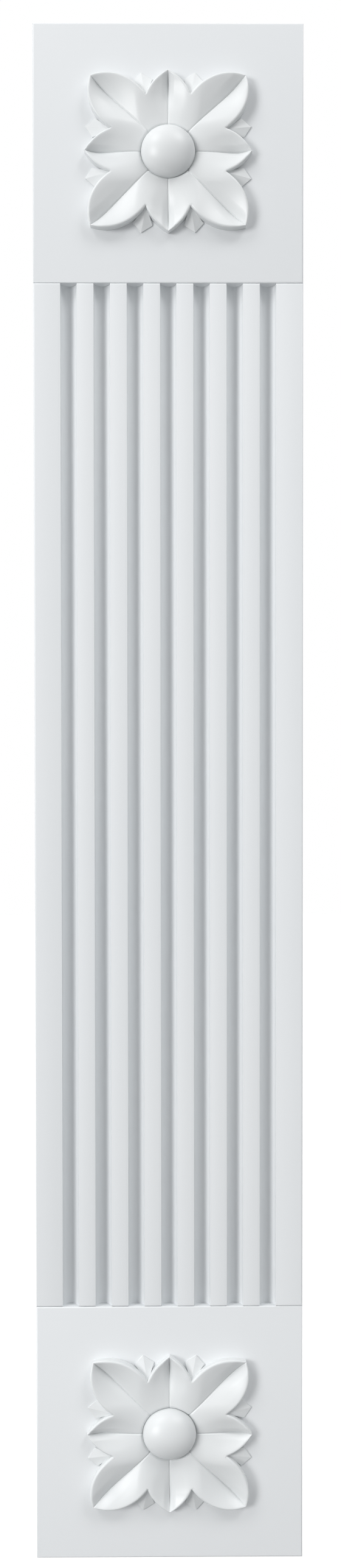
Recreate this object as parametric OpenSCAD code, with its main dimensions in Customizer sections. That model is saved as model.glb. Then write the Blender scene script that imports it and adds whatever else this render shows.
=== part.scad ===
// Fluted pilaster with a nearly square block at each end and a carved rosette on each block.
// Origin: middle of the shaft's back face. The back lies on the XZ plane, the front looks along -Y.

/* [Blocks and shaft] */
// Width of the blocks and of the shaft
body_w = 150; // [125:1:200]
// Thickness from the back to the front face
body_d = 24; // [16:1:40]
// Height of the upper block
upper_block_h = 142.5; // [110:0.5:200]
// Height of the lower block
lower_block_h = 142.5; // [110:0.5:200]
// Height of the shaft between the blocks
shaft_h = 571; // [300:1:1500]
// Radius of the eased edges round each front face
edge_r = 0.9; // [0.3:0.1:2]

/* [Flutes] */
// Number of flutes
flute_count = 7; // [3:1:9]
// Width of a flute at the face
flute_w = 9.2; // [6:0.1:12]
// Depth of a flute
flute_depth = 8; // [2:0.1:12]
// Flat land between the outer flutes and the sides of the shaft
edge_land = 15; // [8:0.5:25]

/* [Rosette] */
// Width over the side leaves
rosette_w = 92.8; // [70:0.1:110]
// Height over the side leaves
rosette_h = 88.4; // [70:0.1:110]
// Height of the leaf rims above the block
rim_h = 6.8; // [6:0.1:10]
// Radius of the rounded leaf rims
rim_r = 1.5; // [0.5:0.1:2]
// Height of the leaves' crests where they meet the boss, lower than the rims, so the rosette is dished
dish_h = 4.2; // [3.5:0.1:6]
// Depth of the midrib of a side leaf
side_vein = 3; // [1:0.1:3.4]
// Depth of the midrib of a corner leaf
corner_vein = 4; // [1:0.1:4.2]
// Width of the domed boss
boss_w = 30; // [20:0.1:34]
// Height of the top of the boss above the block
boss_h = 12.6; // [9:0.1:20]
// Height of the thin outer edge of a sepal
sepal_edge = 0.8; // [0.5:0.1:2]
// Height of a sepal's ridge where it goes under the leaves
sepal_h = 4.4; // [2:0.1:4.8]

/* [Hidden] */
paint = [0.93, 0.94, 0.94];
shaft_paint = [0.88, 0.90, 0.91];
rosette_paint = [0.97, 0.97, 0.96];
ease_steps = 4;

// Flutes: half an ellipse in section, spread evenly between the two edge lands
flute_steps = 48;
flute_pitch = (body_w - 2 * edge_land - flute_w) / (flute_count - 1);

// Plan of one eighth of the rosette, in halves of its width and height: a runs along a side
// leaf's midrib and c across it, so the corner leaf's midrib is the line a = c.
side_tip = [1, 0];
notch = [0.698, 0.268];
corner_tip = [0.928, 0.928];
side_bow = [0.891, 0.189];
corner_bow = [[0.92, 0.44], [1.015, 0.68]];
crest_bow = [[0.36, 0.355], [0.56, 0.30]];
crest_foot_angle = 42;
boss_reach = boss_w / rosette_w;

// Grid of the rosette: columns in an eighth, half of them on each leaf, and rings
columns = 12;
dome_rings = 5;
leaf_rings = 9;
rim_rings = 3;

// The boss stands this far clear of the crests, and the midribs start this far below them
boss_clear = 0.3;
side_vein_start = 1.7;
corner_vein_start = 0.4;
vein_end = 1;

// Shape of the veins: swell_power moves the deepest place towards the tip, and a half leaf's
// section goes from end_section at the boss and the tip to a fuller one where the vein is deepest
swell_power = 2.1;
end_section = 1.4;
fuller_by = 1.3;

// The grid's rings draw in to the start of the rounded rim by this power of the way out
draw_in_power = 3;

// Sepals, in the same plan: the outer tip, the two shoulders and the root under the leaves
sepal_tip = [0.99, 0.322];
sepal_shoulders = [[0.905, 0.19], [0.876, 0.422]];
sepal_root = [[0.62, 0.20], [0.62, 0.33]];
sepal_spur = [[0.70, 0.268], [0.64, 0.25], [0.64, 0.28]];

function mix(a, b, t) = a + (b - a) * t;
function curve3(a, b, c, t) = mix(mix(a, b, t), mix(b, c, t), t);
function curve4(a, b, c, d, t) = mix(curve3(a, b, c, t), curve3(b, c, d, t), t);
function swell(s) = sin(180 * pow(s, swell_power));
function swap(p) = [p[1], p[0]];

// A half leaf's section: 0 at the midrib, 1 at the crest or rim. The midrib is a V and the crest is round.
function section(t, s) = 1 - pow(1 - t, end_section + fuller_by * swell(s));

// Heights above the block, for s from the boss (0) to the outline (1)
function crest_z(s) = mix(dish_h, rim_h, s);
function side_vein_z(s) = mix(dish_h - side_vein_start, rim_h - vein_end, s) - side_vein * swell(s);
function corner_vein_z(s) = mix(dish_h - corner_vein_start, rim_h - vein_end, s) - corner_vein * swell(s);
function leaf_z(u, s) =
    u < 1 ? mix(side_vein_z(s), crest_z(s), section(u, s))
          : mix(corner_vein_z(s), crest_z(s), section(2 - u, s));

// Outline of the eighth, for u from the side leaf's tip (0) by the notch (1) to the corner leaf's tip (2)
function outline(u) =
    u < 1 ? curve3(side_tip, side_bow, notch, u)
          : curve4(notch, corner_bow[0], corner_bow[1], corner_tip, u - 1);

// Foot of the boss in plan
function foot_angle(u) = u < 1 ? crest_foot_angle * u : mix(crest_foot_angle, 45, u - 1);
function foot(u) = boss_reach * [cos(foot_angle(u)), sin(foot_angle(u))];

// The eighth is turned and mirrored to make the whole: column i of the ring gives u and the eighth
ring_size = 8 * columns;
function along(i) = let (k = i % columns) 2 / columns * (floor(i / columns) % 2 == 0 ? k : columns - k);
function turned(p, i) =
    let (
        eighth = floor(i / columns),
        q = eighth % 2 == 0 ? p : swap(p),
        turn = 90 * floor(eighth / 2)
    )
    [q[0] * cos(turn) - q[1] * sin(turn), q[0] * sin(turn) + q[1] * cos(turn)];
function to_size(p) = [p[0] * rosette_w / 2, p[1] * rosette_h / 2];

// The outline in millimetres, and the same drawn in by d, square to its own edges
outer = [for (i = [0:ring_size - 1]) to_size(turned(outline(along(i)), i))];
function edge_dir(i) = let (e = outer[(i + 1) % ring_size] - outer[i % ring_size]) e / norm(e);
function inward(i) =
    let (
        e = edge_dir(i + ring_size - 1),
        f = edge_dir(i),
        n = [-e[1] - f[1], e[0] + f[0]]
    )
    n / (0.5 * n * n);
function drawn_in(i, d) = outer[i] + d * inward(i);

// The crest between two leaves bows out from the boss to the notch. Every other line of the grid is
// a blend between its neighbours, and all of them end on the line where the rim starts to round.
function crest_line(s) = curve4(foot(1), crest_bow[0], crest_bow[1], notch, s);
function blend(side_line, crest, t, u, s) =
    mix(side_line, crest, t) + mix(foot(u), outline(u), s)
    - mix(mix(foot(floor(u)), foot(floor(u) + 1), t), mix(outline(floor(u)), outline(floor(u) + 1), t), s);
function leaf_plan(u, s) =
    u < 1 ? blend(mix(foot(0), side_tip, s), crest_line(s), u, u, s)
    : u < 2 ? blend(crest_line(s), mix(foot(2), corner_tip, s), u - 1, u, s)
    : mix(foot(2), corner_tip, s);

// Rings of points, from the top of the boss over the leaves and the rim to the block
function dome_point(i, k) =
    let (
        down = 90 * k / dome_rings,
        p = to_size(turned(foot(along(i)) * sin(down), i))
    )
    [p[0], p[1], mix(dish_h + boss_clear, boss_h, cos(down))];
function leaf_point(i, k) =
    let (
        u = along(i),
        s = k / leaf_rings,
        p = to_size(turned(leaf_plan(u, s), i)) + pow(s, draw_in_power) * rim_r * inward(i)
    )
    [p[0], p[1], leaf_z(u, s)];
function rim_point(i, k) =
    let (
        around = 90 * k / rim_rings,
        p = drawn_in(i, rim_r * (1 - sin(around)))
    )
    [p[0], p[1], leaf_z(along(i), 1) - rim_r * (1 - cos(around))];

leaf_ring = dome_rings + 1;
rim_ring = leaf_ring + leaf_rings;
ring_count = rim_ring + rim_rings + 1;
function ring(k) = [
    for (i = [0:ring_size - 1])
        k < leaf_ring ? dome_point(i, k)
        : k <= rim_ring ? leaf_point(i, k - leaf_ring)
        : k < ring_count ? rim_point(i, k - rim_ring)
        : [outer[i][0], outer[i][1], 0]
];

module leaves_and_boss() {
    points = concat(
        [[0, 0, boss_h], [0, 0, 0]],
        [for (k = [1:ring_count]) each ring(k)]
    );
    faces = concat(
        [for (i = [0:ring_size - 1]) let (j = (i + 1) % ring_size) [0, 2 + j, 2 + i]],
        [
            for (k = [0:ring_count - 2], i = [0:ring_size - 1])
                let (
                    j = (i + 1) % ring_size,
                    a = 2 + k * ring_size + i,
                    b = 2 + k * ring_size + j,
                    c = a + ring_size,
                    d = b + ring_size
                )
                each [[a, b, d], [a, d, c]]
        ],
        [
            for (i = [0:ring_size - 1])
                let (j = (i + 1) % ring_size, last = 2 + (ring_count - 1) * ring_size)
                [1, last + i, last + j]
        ]
    );
    polyhedron(points, faces, convexity = 6);
}

module sepal(eighth) {
    function placed(p) = to_size(turned(p, eighth * columns));
    hull() {
        linear_extrude(sepal_edge)
            polygon([
                for (p = [sepal_tip, sepal_shoulders[0], sepal_root[0], sepal_root[1], sepal_shoulders[1]])
                    placed(p)
            ]);
        linear_extrude(sepal_h)
            polygon([for (p = sepal_spur) placed(p)]);
    }
}

module rosette() {
    union() {
        leaves_and_boss();
        for (eighth = [0:7]) sepal(eighth);
    }
}

// A box whose front edges are eased all round: the two profiles cross
module eased_box(w, d, h) {
    intersection() {
        translate([0, 0, -h / 2]) linear_extrude(h) eased_profile(w, d);
        rotate([0, 90, 0]) translate([0, 0, -w / 2]) linear_extrude(w) eased_profile(h, d);
    }
}

module eased_profile(w, d) {
    corner = [for (k = [0:ease_steps]) edge_r * [1 - cos(90 * k / ease_steps), 1 - sin(90 * k / ease_steps)]];
    polygon(concat(
        [[-w / 2, 0]],
        [for (p = corner) [-w / 2 + p[0], -d + p[1]]],
        [for (k = [ease_steps:-1:0]) [w / 2 - corner[k][0], -d + corner[k][1]]],
        [[w / 2, 0]]
    ));
}

module upper_block() {
    color(paint)
        translate([0, 0, (shaft_h + upper_block_h) / 2])
            eased_box(body_w, body_d, upper_block_h);
}

module lower_block() {
    color(paint)
        translate([0, 0, -(shaft_h + lower_block_h) / 2])
            eased_box(body_w, body_d, lower_block_h);
}

module fluted_shaft() {
    color(shaft_paint)
        difference() {
            eased_box(body_w, body_d, shaft_h);
            for (k = [0:flute_count - 1])
                translate([(k - (flute_count - 1) / 2) * flute_pitch, -body_d, 0])
                    linear_extrude(shaft_h + 2, center = true)
                        scale([1, 2 * flute_depth / flute_w]) circle(d = flute_w, $fn = flute_steps);
        }
}

module upper_rosette() {
    color(rosette_paint)
        translate([0, -body_d, (shaft_h + upper_block_h) / 2])
            rotate([90, 0, 0]) rosette();
}

module lower_rosette() {
    color(rosette_paint)
        translate([0, -body_d, -(shaft_h + lower_block_h) / 2])
            rotate([90, 0, 0]) rosette();
}

upper_block();
fluted_shaft();
lower_block();
upper_rosette();
lower_rosette();
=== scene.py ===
import math

import bpy
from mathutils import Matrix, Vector
from mathutils.kdtree import KDTree


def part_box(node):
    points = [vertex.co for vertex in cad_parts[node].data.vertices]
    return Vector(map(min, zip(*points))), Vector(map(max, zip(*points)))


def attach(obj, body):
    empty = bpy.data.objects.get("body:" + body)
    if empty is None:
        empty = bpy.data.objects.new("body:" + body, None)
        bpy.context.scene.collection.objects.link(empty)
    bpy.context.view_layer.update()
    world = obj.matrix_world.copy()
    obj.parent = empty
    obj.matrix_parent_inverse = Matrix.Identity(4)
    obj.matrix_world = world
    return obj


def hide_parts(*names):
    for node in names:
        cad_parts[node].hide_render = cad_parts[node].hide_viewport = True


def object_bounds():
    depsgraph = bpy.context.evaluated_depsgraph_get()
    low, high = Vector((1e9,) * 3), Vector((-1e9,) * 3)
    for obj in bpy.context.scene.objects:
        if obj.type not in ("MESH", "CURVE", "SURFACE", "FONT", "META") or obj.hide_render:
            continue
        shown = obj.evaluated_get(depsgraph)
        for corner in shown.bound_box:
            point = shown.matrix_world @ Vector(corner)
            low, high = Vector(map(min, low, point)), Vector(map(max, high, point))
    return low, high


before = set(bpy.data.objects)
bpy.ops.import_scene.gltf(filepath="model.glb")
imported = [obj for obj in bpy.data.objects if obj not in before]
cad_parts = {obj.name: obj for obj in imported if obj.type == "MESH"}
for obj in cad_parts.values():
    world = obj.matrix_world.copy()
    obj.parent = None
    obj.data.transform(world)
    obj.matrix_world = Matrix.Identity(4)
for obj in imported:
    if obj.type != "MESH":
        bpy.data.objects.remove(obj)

cadLow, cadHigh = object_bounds()  # the object's box before anything is added
mm = 0.001


def pickNothing():
    bpy.ops.object.select_all(action="DESELECT")


def pickOnly(*things):
    pickNothing()
    for thing in things:
        thing.select_set(True)
    bpy.context.view_layer.objects.active = things[0]


def pickEdges(piece, wanted):
    # leaves the piece in edit mode with just the wanted edges picked
    bpy.ops.object.mode_set(mode="EDIT")
    bpy.ops.mesh.select_mode(type="EDGE")
    bpy.ops.mesh.select_all(action="DESELECT")
    bpy.ops.object.mode_set(mode="OBJECT")
    points = piece.data.vertices
    for edge in piece.data.edges:
        edge.select = wanted(points[edge.vertices[0]].co, points[edge.vertices[1]].co)
    bpy.ops.object.mode_set(mode="EDIT")


def applyPlace(piece):
    pickOnly(piece)
    bpy.ops.object.transform_apply(location=True, rotation=True, scale=True)


def boxBetween(low, high):
    pickNothing()
    bpy.ops.mesh.primitive_cube_add(size=1, location=(low + high) / 2, scale=high - low)
    piece = bpy.context.object
    applyPlace(piece)
    return piece


def smoothFaces(piece, degrees):
    pickOnly(piece)
    bpy.ops.object.shade_smooth_by_angle(angle=math.radians(degrees))


def hangOn(piece, name, node, material):
    # the piece stands for its CAD node, which it hides, and takes the finish it is given
    piece.name = name
    piece.data.name = name
    piece.data.materials.clear()
    piece.data.materials.append(material)
    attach(piece, "root")
    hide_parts(node)


def linear(hexColour):
    # an sRGB hex colour as the linear values that a shader takes
    parts = [int(hexColour[i:i + 2], 16) / 255 for i in (0, 2, 4)]
    return [p / 12.92 if p <= 0.04045 else ((p + 0.055) / 1.055) ** 2.4 for p in parts] + [1]


def addNode(material, kind, settings=None, links=None):
    # adds one node: settings go on its properties or sockets, links come into its sockets
    node = material.node_tree.nodes.new(kind)
    for key, value in (settings or {}).items():
        if key in node.inputs:
            node.inputs[key].default_value = value
        else:
            setattr(node, key, value)
    for key, source in (links or {}).items():
        material.node_tree.links.new(source, node.inputs[key])
    return node


def startMaterial(name):
    material = bpy.data.materials.new(name)
    material.use_nodes = True
    material.node_tree.nodes.clear()
    return material


# Satin acrylic lacquer sprayed on smooth board, rubbed down between coats: even and nearly flat,
# with a soft sheen, a faint orange peel and hardly any drift in colour.
boardPaint = {
    "coat": "E7E9EA",          # lacquer colour
    "thinCoat": "E3E6E8",      # where the last coat is a little thinner
    "roughness": 0.42,
    "ior": 1.49,               # acrylic
    "driftSize": 160,          # mm, slow change of the coat from one spray pass to the next
    "peelSize": 2.2,           # mm, orange peel
    "peelHeight": 0.006,       # mm
}


def sprayedPaint(name, look):
    material = startMaterial(name)
    place = addNode(material, "ShaderNodeTexCoord")
    drift = addNode(material, "ShaderNodeTexNoise",
                    {"Scale": 1 / (look["driftSize"] * mm), "Detail": 2.0, "Roughness": 0.4},
                    {"Vector": place.outputs["Object"]})
    coat = addNode(material, "ShaderNodeMix", {"data_type": "RGBA"},
                   {"Factor": drift.outputs["Fac"]})
    coat.inputs[6].default_value = linear(look["coat"])      # the two colours it blends
    coat.inputs[7].default_value = linear(look["thinCoat"])
    peel = addNode(material, "ShaderNodeTexNoise",
                   {"Scale": 1 / (look["peelSize"] * mm), "Detail": 3.0, "Roughness": 0.5},
                   {"Vector": place.outputs["Object"]})
    relief = addNode(material, "ShaderNodeBump",
                     {"Strength": 1.0, "Distance": look["peelHeight"] * mm},
                     {"Height": peel.outputs["Fac"]})
    paint = addNode(material, "ShaderNodeBsdfPrincipled",
                    {"Roughness": look["roughness"], "IOR": look["ior"]},
                    {"Base Color": coat.outputs[2], "Normal": relief.outputs["Normal"]})
    addNode(material, "ShaderNodeOutputMaterial", {}, {"Surface": paint.outputs["BSDF"]})
    return material


# The same lacquer on the carving, finer and softer. Its colours are a little greyer than the
# boards': painted shade, standing in for the deeper shade in the carving's hollows.
carvingPaintWithPaintedShade = {
    # coat and thinCoat below are darker than the board's: painted shade over the whole carving
    "coat": "E2E4E4",
    "thinCoat": "DDE0E1",
    "roughness": 0.38,
    "ior": 1.49,
    "driftSize": 45,
    "peelSize": 1.4,
    "peelHeight": 0.004,
}

boardMaterial = sprayedPaint("satinLacquerOnBoard", boardPaint)
carvingMaterial = sprayedPaint("satinLacquerOnCarving", carvingPaintWithPaintedShade)
print("finishes ready")


board = {
    "easedEdge": 0.9,      # mm, round the front face
    "easedSteps": 5,
    "smoothUnder": 40,     # degrees, edges flatter than this are shaded smooth
}


def easeEdges(piece, low):
    # sand a small round on the edges about the front face
    def atFront(a, b):
        return a.y < low.y + 1e-6 and b.y < low.y + 1e-6

    pickEdges(piece, atFront)
    bpy.ops.mesh.bevel(offset=board["easedEdge"] * mm, segments=board["easedSteps"], profile=0.5)
    bpy.ops.object.mode_set(mode="OBJECT")


def modelBlock(node):
    low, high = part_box(node)
    piece = boxBetween(low, high)
    easeEdges(piece, low)
    smoothFaces(piece, board["smoothUnder"])
    return piece


flutes = {
    "count": 7,
    "width": 9.2,          # mm, at the face
    "depth": 8,            # mm
    "edgeLand": 15,        # mm, flat land outside the last flute
    "arris": 0.3,          # mm, edges beside the flutes softened by sanding and paint
    "arrisSteps": 3,
    "arrisOver": 50,       # degrees, only edges sharper than this are softened
    "cutterSteps": 128,    # round the whole cutter
    "cutterReach": 1.1,    # length of the cutter in lengths of the shaft
}


def modelShaft(node):
    low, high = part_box(node)
    piece = boxBetween(low, high)
    easeEdges(piece, low)

    # one cutter for each flute, deeper than it is wide
    width, depth = flutes["width"] * mm, flutes["depth"] * mm
    pitch = (high.x - low.x - 2 * flutes["edgeLand"] * mm - width) / (flutes["count"] - 1)
    middle = (low + high) / 2
    cutters = []
    for k in range(flutes["count"]):
        pickNothing()
        bpy.ops.mesh.primitive_cylinder_add(
            vertices=flutes["cutterSteps"], radius=width / 2,
            depth=(high.z - low.z) * flutes["cutterReach"],
            location=(middle.x + (k - (flutes["count"] - 1) / 2) * pitch, low.y, middle.z),
            scale=(1, 2 * depth / width, 1))
        cutters.append(bpy.context.object)
    pickOnly(*cutters)
    bpy.ops.object.join()
    cutter = bpy.context.object
    cut = piece.modifiers.new("flutes", "BOOLEAN")
    cut.operation = "DIFFERENCE"
    cut.solver = "EXACT"
    cut.object = cutter
    pickOnly(piece)
    bpy.ops.object.modifier_apply(modifier=cut.name)
    bpy.data.objects.remove(cutter)

    # soften the arrises, which are the long edges on the face
    soft = piece.modifiers.new("arrises", "BEVEL")
    soft.width = flutes["arris"] * mm
    soft.segments = flutes["arrisSteps"]
    soft.limit_method = "ANGLE"
    soft.angle_limit = math.radians(flutes["arrisOver"])
    bpy.ops.object.modifier_apply(modifier=soft.name)
    smoothFaces(piece, board["smoothUnder"])
    return piece


for node in ("upper_block", "lower_block"):
    name = "upperBlock" if node == "upper_block" else "lowerBlock"
    hangOn(modelBlock(node), name, node, boardMaterial)
hangOn(modelShaft("fluted_shaft"), "flutedShaft", "fluted_shaft", boardMaterial)
print("blocks and shaft modelled")


# Plan of an eighth in halves of the rosette's width: the first number runs along a side leaf's
# midrib and the second across it, so the corner leaf's midrib is where the two are equal.
rosette = {
    "sideTip": (1, 0),
    "sideBow": (0.891, 0.189),
    "notch": (0.698, 0.268),
    "cornerBows": [(0.92, 0.44), (1.015, 0.68)],
    "cornerTip": (0.928, 0.928),
    "crestBows": [(0.38, 0.42), (0.58, 0.33)],
    "crestFoot": 42,           # degrees round the boss
    "bossReach": 0.323,        # radius of the boss
    "dishReach": 0.80,         # how far out the crests have risen to the rim
    # heights above the block, mm
    "rim": 6.8,
    "dish": 4.2,
    "bossFoot": 2.8,
    "bossCrease": (1.6, 1.3),  # width and depth of the roll down to the foot of the boss
    "boss": 12.6,
    "rimRound": 1.4,
    # height of the midrib at the boss and at the tip, and how far it dips between, mm
    "sideMidrib": (2.6, 5.8, 2.7),
    "cornerMidrib": (3.9, 5.8, 3.2),
    "dipAt": 0.65,             # share of the way from the boss to the tip
    # how steeply a leaf climbs from its midrib, at the boss and from the dip outwards
    "sideClimb": (0.17, 0.44),
    "cornerClimb": (0.42, 0.42),
    "crestSoft": 4.0,          # mm of height over which two leaves run into one another
    "rimSoft": 2.0,
    # half width and depth of the gouge cut along the midrib, mm
    "sideGouge": (3.4, 2.0),
    "cornerGouge": (5.4, 2.0),
    "gougeAt": 0.8,            # share of the way where the gouge is deepest
    "gougeCurve": 1.5,         # 1 is a plain V, more hollows its sides
    "crease": 0.3,             # depth of the sharp line at its bottom
    # thin sepals behind the notches, in the same plan, and their heights, mm
    "sepalTip": (0.99, 0.322),
    "sepalShoulders": [(0.905, 0.19), (0.876, 0.422)],
    "sepalRoot": (0.66, 0.262),
    "sepalEdge": 0.8,
    "sepalRidge": 4.6,
    # steps of the mesh in an eighth, closer together at the outline, the crests and the midribs
    "columns": 96,
    "bossRows": 14,
    "leafRows": 58,
    "wallRows": 2,
    "drawnTogether": 1.7,
    "outlineSteps": 1200,      # for finding how far a point is from the outline
    "mergeUnder": 2e-6,        # m, for the points that meet on the seams
    "smoothUnder": 50,         # degrees
}


def mix(a, b, t):
    return a + (b - a) * t


def bow(points, t):
    points = [Vector(p) for p in points]
    while len(points) > 1:
        points = [a.lerp(b, t) for a, b in zip(points, points[1:])]
    return points[0]


def swell(s, deepest):
    # 0 at the boss and the tip, 1 at the deepest place
    return math.sin(math.pi * s ** (math.log(0.5) / math.log(deepest)))


def outline(u):
    # from the side leaf's tip (0) by the notch (1) to the corner leaf's tip (2)
    if u <= 1:
        return bow([rosette["sideTip"], rosette["sideBow"], rosette["notch"]], u)
    return bow([rosette["notch"], *rosette["cornerBows"], rosette["cornerTip"]], u - 1)


def foot(u):
    # where a leaf starts at the boss: a corner leaf's midrib is 45 degrees round from a side leaf's
    crest = rosette["crestFoot"]
    turn = math.radians(crest * u if u <= 1 else mix(crest, 45, u - 1))
    return rosette["bossReach"] * Vector((math.cos(turn), math.sin(turn)))


def leafPlan(u, s):
    # blends from one midrib over the crest to the next, for s from the boss (0) to the outline (1)
    crest = bow([foot(1), *rosette["crestBows"], rosette["notch"]], s)
    if u <= 1:
        start, end, t = foot(0).lerp(outline(0), s), crest, u
    else:
        start, end, t = crest, foot(2).lerp(outline(2), s), u - 1
    first = 0 if u <= 1 else 1
    inner = foot(first).lerp(foot(first + 1), t)
    outer = outline(first).lerp(outline(first + 1), t)
    return start.lerp(end, t) + foot(u).lerp(outline(u), s) - inner.lerp(outer, s)


def quarterRound(distance, width, depth):
    # how far a surface has rolled down at that distance from its edge
    if distance >= width:
        return 0
    return depth * (1 - math.sqrt(1 - (1 - max(distance, 0) / width) ** 2))


def dishHeight(fromCentre):
    # the crests rise from the boss to the notches, and stay level from there
    rise = (fromCentre - rosette["bossReach"]) / (rosette["dishReach"] - rosette["bossReach"])
    rise = min(max(rise, 0), 1)
    return mix(rosette["dish"], rosette["rim"], rise * rise * (3 - 2 * rise))


def softMin(a, b, width):
    # the lower of the two, run together where they differ by less than the width, and a quarter of
    # the width lower where they are equal
    share = min(max(0.5 + 0.5 * (b - a) / width, 0), 1)
    return mix(b, a, share) - width * share * (1 - share)


def halfLeafHeight(leaf, fromCentre, across, reach, size):
    # a leaf climbs to both sides from its midrib, which dips between the boss and the tip; in mm
    along = (fromCentre - rosette["bossReach"]) / (reach - rosette["bossReach"])
    along = min(max(along, 0), 1)
    atBoss, atTip, dip = rosette[leaf + "Midrib"]
    climb = mix(*rosette[leaf + "Climb"], min(along / rosette["dipAt"], 1))
    width, depth = rosette[leaf + "Gouge"]
    beside = abs(across) * size
    gouge = max(1 - beside / width, 0) ** rosette["gougeCurve"]
    gouge *= depth * swell(along, rosette["gougeAt"])
    gouge += rosette["crease"] * max(1 - beside / (2 * rosette["crease"]), 0)
    return mix(atBoss, atTip, along) - dip * swell(along, rosette["dipAt"]) + climb * beside - gouge


def leafHeight(plan, toOutline, size):
    fromCentre = plan.length
    side = halfLeafHeight("side", fromCentre, plan.y, 1, size)
    corner = halfLeafHeight("corner", fromCentre, (plan.x - plan.y) / math.sqrt(2),
                            Vector(rosette["cornerTip"]).length, size)
    height = softMin(side, corner, rosette["crestSoft"])
    height = softMin(height, dishHeight(fromCentre) + rosette["rimSoft"] / 4, rosette["rimSoft"])
    height -= quarterRound((fromCentre - rosette["bossReach"]) * size, *rosette["bossCrease"])
    return height - quarterRound(toOutline, rosette["rimRound"], rosette["rimRound"])


def addSepal(piece, size):
    # a thin four-cornered leaf with a ridge that climbs under the notch
    pickNothing()
    bpy.ops.mesh.primitive_plane_add(size=1)
    sepal = bpy.context.object
    corners = [rosette["sepalTip"], *rosette["sepalShoulders"], rosette["sepalRoot"]]
    heights = [rosette["sepalEdge"]] * 3 + [rosette["sepalRidge"]]
    for vertex, (x, z), height in zip(sepal.data.vertices, corners, heights):
        vertex.co = (x * size * mm, -height * mm, z * size * mm)
    bpy.ops.object.mode_set(mode="EDIT")
    bpy.ops.mesh.select_mode(type="VERT")
    bpy.ops.mesh.select_all(action="DESELECT")
    bpy.ops.object.mode_set(mode="OBJECT")
    sepal.data.vertices[0].select = sepal.data.vertices[3].select = True
    bpy.ops.object.mode_set(mode="EDIT")
    bpy.ops.mesh.vert_connect()
    bpy.ops.mesh.select_all(action="SELECT")
    bpy.ops.mesh.extrude_region_move()
    bpy.ops.transform.resize(value=(1, 0, 1), center_override=(0, 0, 0))
    bpy.ops.mesh.select_all(action="SELECT")
    bpy.ops.mesh.normals_make_consistent(inside=False)
    bpy.ops.mesh.select_mode(type="EDGE")
    bpy.ops.mesh.select_all(action="SELECT")
    bpy.ops.mesh.mark_sharp()
    bpy.ops.object.mode_set(mode="OBJECT")
    pickOnly(piece, sepal)
    bpy.ops.object.join()


def easedBothWays(x):
    # 0 to 1 with the steps drawn together at both ends
    power = rosette["drawnTogether"]
    return (2 * x) ** power / 2 if x < 0.5 else 1 - (2 - 2 * x) ** power / 2


def modelRosette(node):
    low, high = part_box(node)
    halfWide, halfHigh = (high.x - low.x) / 2 / mm, (high.z - low.z) / 2 / mm
    size = math.sqrt(halfWide * halfHigh)  # modelled square, then drawn to its width and height
    bossRows, leafRows, wallRows = rosette["bossRows"], rosette["leafRows"], rosette["wallRows"]
    rows = bossRows + leafRows + wallRows

    # where the outline runs, to know how far each point is from it
    edgeSteps = rosette["outlineSteps"]
    edge = KDTree(2 * edgeSteps + 2)
    for k in range(edgeSteps + 1):
        p = outline(2 * k / edgeSteps) * size
        edge.insert((p.x, p.y, 0), 2 * k)
        edge.insert((p.x, -p.y, 0), 2 * k + 1)
    edge.balance()

    # one eighth from a flat grid: over the boss, out along the leaves, down the wall to the block
    pickNothing()
    bpy.ops.mesh.primitive_grid_add(
        x_subdivisions=rosette["columns"], y_subdivisions=rows, size=1)
    piece = bpy.context.object
    places = []
    for vertex in piece.data.vertices:
        u = 2 * easedBothWays(vertex.co.x + 0.5)
        row = round((vertex.co.y + 0.5) * rows)
        if row <= bossRows:
            down = math.pi / 2 * row / bossRows
            plan = foot(u) * math.sin(down)
            height = mix(rosette["bossFoot"], rosette["boss"], math.cos(down))
        elif row <= bossRows + leafRows:
            s = 1 - (1 - (row - bossRows - 1) / (leafRows - 1)) ** rosette["drawnTogether"]
            plan = leafPlan(u, s)
            onOutline = row == bossRows + leafRows
            toOutline = 0 if onOutline else edge.find((plan.x * size, plan.y * size, 0))[2]
            height = leafHeight(plan, toOutline, size)
        else:
            plan = outline(u)
            top = leafHeight(plan, 0, size)
            height = top * (1 - (row - bossRows - leafRows) / wallRows)
        places += [plan.x * size * mm, -height * mm, plan.y * size * mm]
    piece.data.vertices.foreach_set("co", places)
    piece.data.update()

    addSepal(piece, size)

    # mirror it over the side leaf's midrib and turn it round the boss
    flip = piece.modifiers.new("halves", "MIRROR")
    flip.use_axis = (False, False, True)
    flip.merge_threshold = rosette["mergeUnder"] / 2
    pickOnly(piece)
    bpy.ops.object.modifier_apply(modifier=flip.name)
    bpy.ops.object.mode_set(mode="EDIT")
    bpy.ops.mesh.select_all(action="SELECT")
    bpy.ops.mesh.spin(steps=3, dupli=True, angle=math.radians(270),
                      center=(0, 0, 0), axis=(0, 1, 0))
    bpy.ops.mesh.select_all(action="SELECT")
    bpy.ops.mesh.remove_doubles(threshold=rosette["mergeUnder"])

    # close the back, which is the only open border
    bpy.ops.mesh.select_mode(type="EDGE")
    bpy.ops.mesh.select_all(action="DESELECT")
    bpy.ops.mesh.select_non_manifold(
        extend=False, use_wire=False, use_boundary=True,
        use_multi_face=False, use_non_contiguous=False, use_verts=False)
    bpy.ops.mesh.edge_face_add()
    bpy.ops.mesh.select_all(action="SELECT")
    bpy.ops.mesh.normals_make_consistent(inside=False)
    bpy.ops.transform.resize(value=(halfWide / size, 1, halfHigh / size), center_override=(0, 0, 0))
    bpy.ops.transform.translate(value=((low.x + high.x) / 2, high.y, (low.z + high.z) / 2))
    bpy.ops.object.mode_set(mode="OBJECT")
    smoothFaces(piece, rosette["smoothUnder"])
    return piece


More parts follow.
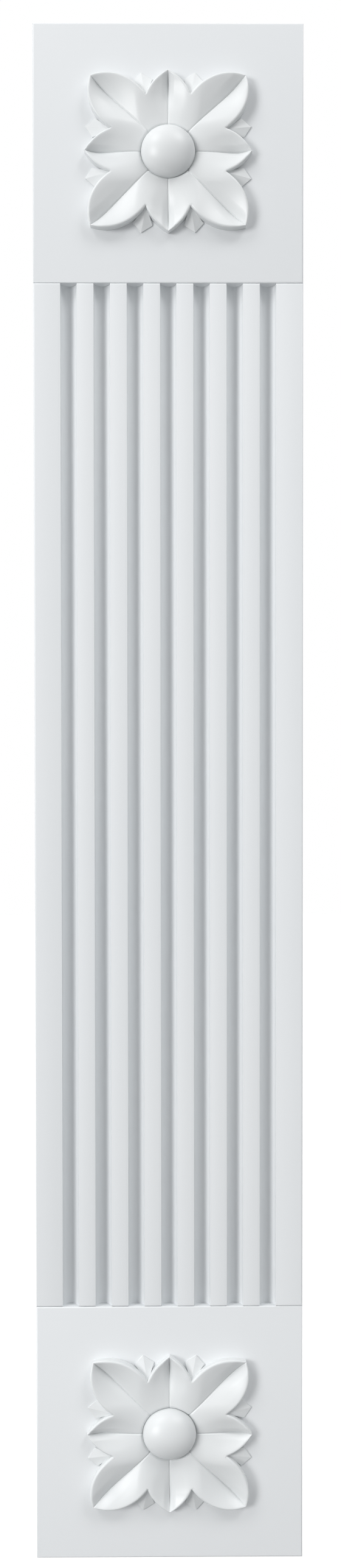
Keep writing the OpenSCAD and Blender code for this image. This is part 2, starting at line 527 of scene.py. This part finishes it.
upperRosette = modelRosette("upper_rosette")
lowerRosette = upperRosette.copy()
lowerRosette.data = upperRosette.data.copy()
bpy.context.collection.objects.link(lowerRosette)
upperLow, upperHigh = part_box("upper_rosette")
lowerLow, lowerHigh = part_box("lower_rosette")
pickOnly(lowerRosette)
bpy.ops.object.mode_set(mode="EDIT")
bpy.ops.mesh.select_all(action="SELECT")
bpy.ops.transform.translate(value=lowerLow - upperLow)
bpy.ops.object.mode_set(mode="OBJECT")
hangOn(upperRosette, "upperRosette", "upper_rosette", carvingMaterial)
hangOn(lowerRosette, "lowerRosette", "lower_rosette", carvingMaterial)
print("rosettes modelled")


studio = {
    "floor": "F4F4F2",
    "floorSize": 12,              # m
    "floorRoughness": 0.9,
    "floorGlow": 0.3,
    "sky": "FCFDFF",
    "background": "FFFFFF",
    # the sky is dimmer in front, where the softboxes are, than beside and behind the pilaster
    "skyFront": 0.47,
    "skyBehind": 0.92,
    "skyTurns": (-0.35, -0.05),   # along y, as a direction
    # and dimmer towards the ground
    "skyBelow": 0.55,
    "skySinks": (-0.5, 0.1),      # along z
    # round softboxes 7 m away: metres and watts
    "softbox": 2.8,
    "aim": (0, 0, 0.2),
    "left": {"place": (-5.02, -4.86, 0.64), "power": 250},
    "upperLeft": {"place": (-3.72, -3.29, 5.14), "power": 122},
    "upperRight": {"place": (3.09, -3.29, 5.55), "power": 132},
}


def layFloor():
    pickNothing()
    bpy.ops.mesh.primitive_plane_add(size=studio["floorSize"], location=(0, 0, cadLow.z))
    floor = bpy.context.object
    floor.name = "studioFloor"
    material = startMaterial("backlitAcrylicFloor")
    paint = addNode(material, "ShaderNodeBsdfPrincipled",
                    {"Base Color": linear(studio["floor"]), "Roughness": studio["floorRoughness"],
                     "Emission Color": linear(studio["floor"]),
                     "Emission Strength": studio["floorGlow"]})
    addNode(material, "ShaderNodeOutputMaterial", {}, {"Surface": paint.outputs["BSDF"]})
    floor.data.materials.append(material)
    floor.visible_diffuse = False   # it throws no light up at the carving


def setLights():
    world = bpy.data.worlds.new("studioSky")
    world.use_nodes = True
    world.node_tree.nodes.clear()
    place = addNode(world, "ShaderNodeTexCoord")
    axes = addNode(world, "ShaderNodeSeparateXYZ", {}, {"Vector": place.outputs["Generated"]})
    turned = addNode(world, "ShaderNodeMapRange",
                     {"From Min": studio["skyTurns"][0], "From Max": studio["skyTurns"][1],
                      "To Min": studio["skyFront"], "To Max": studio["skyBehind"]},
                     {"Value": axes.outputs["Y"]})
    sunk = addNode(world, "ShaderNodeMapRange",
                   {"From Min": studio["skySinks"][0], "From Max": studio["skySinks"][1],
                    "To Min": studio["skyBelow"], "To Max": 1.0},
                   {"Value": axes.outputs["Z"]})
    strength = addNode(world, "ShaderNodeMath", {"operation": "MULTIPLY"},
                       {0: turned.outputs["Result"], 1: sunk.outputs["Result"]})
    soft = addNode(world, "ShaderNodeBackground", {"Color": linear(studio["sky"])},
                   {"Strength": strength.outputs["Value"]})
    # behind the object the camera sees plain white
    path = addNode(world, "ShaderNodeLightPath")
    plain = addNode(world, "ShaderNodeBackground",
                    {"Color": linear(studio["background"]), "Strength": 1.0})
    seen = addNode(world, "ShaderNodeMixShader", {},
                   {"Fac": path.outputs["Is Camera Ray"], 1: soft.outputs["Background"],
                    2: plain.outputs["Background"]})
    addNode(world, "ShaderNodeOutputWorld", {}, {"Surface": seen.outputs["Shader"]})
    bpy.context.scene.world = world

    for name in ("left", "upperLeft", "upperRight"):
        light = studio[name]
        place = Vector(light["place"])
        aim = (Vector(studio["aim"]) - place).to_track_quat("-Z", "Y").to_euler()
        bpy.ops.object.light_add(type="AREA", location=place, rotation=aim)
        lamp = bpy.context.object
        lamp.name = name + "Softbox"
        lamp.data.shape = "DISK"
        lamp.data.size = studio["softbox"]
        lamp.data.energy = light["power"]


# level with the middle of the pilaster and about a metre in front of it
camera = {
    "place": (-0.00791, -1.054, -0.00287),
    "turn": (88.49197, 0.06472, -0.56206),  # degrees
    "lens": 42.352,
    "shift": (-0.00145, 0.04348),
}


def placeCamera():
    turn = [math.radians(t) for t in camera["turn"]]
    bpy.ops.object.camera_add(location=camera["place"], rotation=turn)
    viewer = bpy.context.object
    viewer.data.sensor_fit = "VERTICAL"
    viewer.data.sensor_width = 36
    viewer.data.sensor_height = 36
    viewer.data.lens = camera["lens"]
    viewer.data.shift_x, viewer.data.shift_y = camera["shift"]
    bpy.context.scene.camera = viewer


layFloor()
setLights()
placeCamera()
bpy.context.scene.view_settings.view_transform = "Standard"
print("studio ready")
